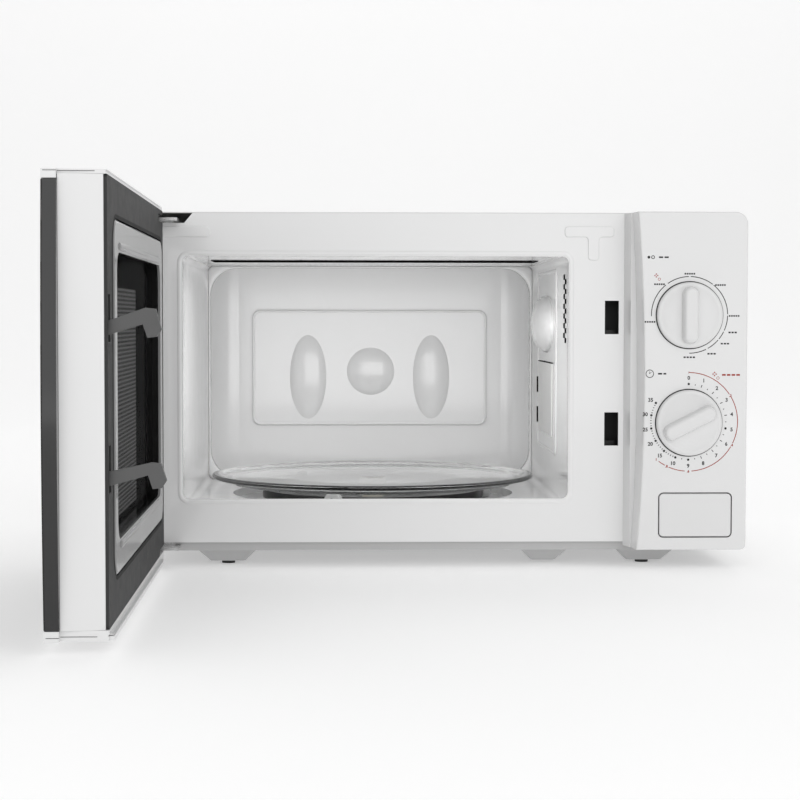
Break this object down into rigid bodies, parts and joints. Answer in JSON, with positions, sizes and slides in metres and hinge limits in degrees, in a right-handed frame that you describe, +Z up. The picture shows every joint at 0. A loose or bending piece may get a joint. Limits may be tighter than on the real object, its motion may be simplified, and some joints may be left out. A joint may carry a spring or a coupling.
{
  "type": "microwave oven",
  "caption": "Countertop microwave oven with grill: side-hinged door standing open, glass turntable on a roller ring, two rotary dials and a door release button.",
  "frame": {"origin": "centre of the pattern of the feet, on the surface they stand on", "axes": "+X to the right seen from the front, +Y to the back, +Z up; the door is stored open at 89.4 degrees"},
  "size_m": [0.4525, 0.6987, 0.2603],
  "materials": {
    "white_enamel": "gloss enamel",
    "cover_paint": "fine satin paint",
    "zinc_steel": "galvanised",
    "screw_steel": "plated",
    "black_rubber": "matte",
    "white_plastic": "gloss moulded",
    "quartz": "frosted",
    "mica": "satin",
    "magnetron_steel": "lacquered",
    "fin_aluminium": "bare",
    "copper_winding": "enamelled wire",
    "can_aluminium": "bare",
    "inner_plastic": "moulded",
    "lamp_glass": "clear",
    "dark_front": "gloss",
    "choke_plastic": "fine grained",
    "latch_plastic": "moulded",
    "roller_plastic": "satin",
    "grey_enamel": "gloss enamel",
    "black_screen": "perforated, black",
    "clear_film": "clear film",
    "plate_glass": "clear tempered"
  },
  "bodies": {
    "case": {"cavity_front_frame": "white_enamel", "cavity_liner": "white_enamel", "cavity_back": "white_enamel", "grill_guard": "white_enamel", "heater_reflector": "zinc_steel", "heater_elements": "quartz", "outer_cover": "cover_paint", "rear_panel": "zinc_steel", "base_plate": "zinc_steel", "rubber_feet": "black_rubber", "cover_screws": "screw_steel", "cord_gland": "black_rubber", "waveguide": "zinc_steel", "waveguide_cover": "mica", "magnetron_housing": "magnetron_steel", "magnetron_fins": "fin_aluminium", "transformer_core": "magnetron_steel", "transformer_windings": "copper_winding", "hv_capacitor": "can_aluminium", "capacitor_clamp": "zinc_steel", "hv_diode": "inner_plastic", "fan_shroud": "inner_plastic", "fan_motor": "inner_plastic", "air_duct": "inner_plastic", "oven_lamp": "lamp_glass", "lamp_holder": "zinc_steel", "filter_board": "inner_plastic", "thermal_cutout": "magnetron_steel", "turntable_motor": "magnetron_steel", "power_selector": "inner_plastic", "timer_body": "inner_plastic", "interlock_bracket": "inner_plastic", "interlock_switches": "inner_plastic", "lever_spring": "screw_steel", "control_panel": "white_plastic", "hinge_brackets": "zinc_steel", "hinge_pins": "screw_steel"},
    "door": {"door_front": "dark_front", "door_frame": "white_plastic", "door_trims": "white_plastic", "choke_cover": "choke_plastic", "door_inner_panel": "grey_enamel", "door_screen": "black_screen", "door_film": "clear_film"},
    "latch": {"latch_hooks": "latch_plastic", "latch_spring": "screw_steel"},
    "button": {"open_button": "white_plastic"},
    "lever": {"release_lever": "inner_plastic"},
    "power_dial": {"power_knob": "white_plastic", "power_shaft": "screw_steel"},
    "timer_dial": {"timer_knob": "white_plastic", "timer_shaft": "screw_steel"},
    "turntable": {"turntable_coupler": "inner_plastic", "glass_plate": "plate_glass"},
    "roller": {"roller_ring": "roller_plastic"},
    "wheel_1": {"roller_wheel_1": "white_plastic"},
    "wheel_2": {"roller_wheel_2": "white_plastic"},
    "wheel_3": {"roller_wheel_3": "white_plastic"},
    "fan": {"fan_blade": "inner_plastic"}
  },
  "joints": [
    {"name": "door_swing", "type": "hinge", "parent": "case", "child": "door", "pos_m": [-0.2114, -0.1746, 0.135], "axis": [0, 0, 1], "range_deg": [-15.6, 89.4]},
    {"name": "latch_lift", "type": "slide", "parent": "door", "child": "latch", "axis": [0, 0, 1], "range_m": [0, 0.005], "stiffness_N_per_m": 150, "springref_m": -0.006, "deforming": ["latch_spring"]},
    {"name": "button_press", "type": "slide", "parent": "case", "child": "button", "axis": [0, 1, 0], "range_m": [0, 0.004], "stiffness_N_per_m": 400, "springref_m": -0.004},
    {"name": "lever_tilt", "type": "hinge", "parent": "case", "child": "lever", "pos_m": [0.126, -0.151, 0.074], "axis": [1, 0, 0], "range_deg": [0, 7.8]},
    {"name": "power_turn", "type": "hinge", "parent": "case", "child": "power_dial", "pos_m": [0.178, -0.19, 0.1838], "axis": [0, 1, 0], "range_deg": [-92, 180]},
    {"name": "timer_turn", "type": "hinge", "parent": "case", "child": "timer_dial", "pos_m": [0.178, -0.19, 0.107], "axis": [0, 1, 0], "range_deg": [-63, 237]},
    {"name": "turntable_spin", "type": "hinge", "parent": "case", "child": "turntable", "pos_m": [-0.045, -0.0144, 0.05], "axis": [0, 0, 1], "continuous": true},
    {"name": "roller_spin", "type": "hinge", "parent": "case", "child": "roller", "pos_m": [-0.045, -0.0144, 0.045], "axis": [0, 0, 1], "continuous": true},
    {"name": "wheel_1_roll", "type": "hinge", "parent": "roller", "child": "wheel_1", "pos_m": [-0.07635, -0.10196, 0.04285], "axis": [-0.3371, -0.9415, 0], "continuous": true},
    {"name": "wheel_2_roll", "type": "hinge", "parent": "roller", "child": "wheel_2", "pos_m": [0.0465, 0.00223, 0.04285], "axis": [0.9839, 0.1788, 0], "continuous": true},
    {"name": "wheel_3_roll", "type": "hinge", "parent": "roller", "child": "wheel_3", "pos_m": [-0.10515, 0.05653, 0.04285], "axis": [-0.6468, 0.7627, 0], "continuous": true},
    {"name": "fan_spin", "type": "hinge", "parent": "case", "child": "fan", "pos_m": [0.159, 0.152, 0.18], "axis": [0, 1, 0], "continuous": true}
  ],
  "couplings": [
    {"joint": "lever_tilt", "follows": "button_press", "rad_per_m": 33.6},
    {"joint": "roller_spin", "follows": "turntable_spin", "ratio": 0.5},
    {"joint": "wheel_1_roll", "follows": "turntable_spin", "ratio": -6.8889},
    {"joint": "wheel_2_roll", "follows": "turntable_spin", "ratio": -6.8889},
    {"joint": "wheel_3_roll", "follows": "turntable_spin", "ratio": -6.8889}
  ]
}
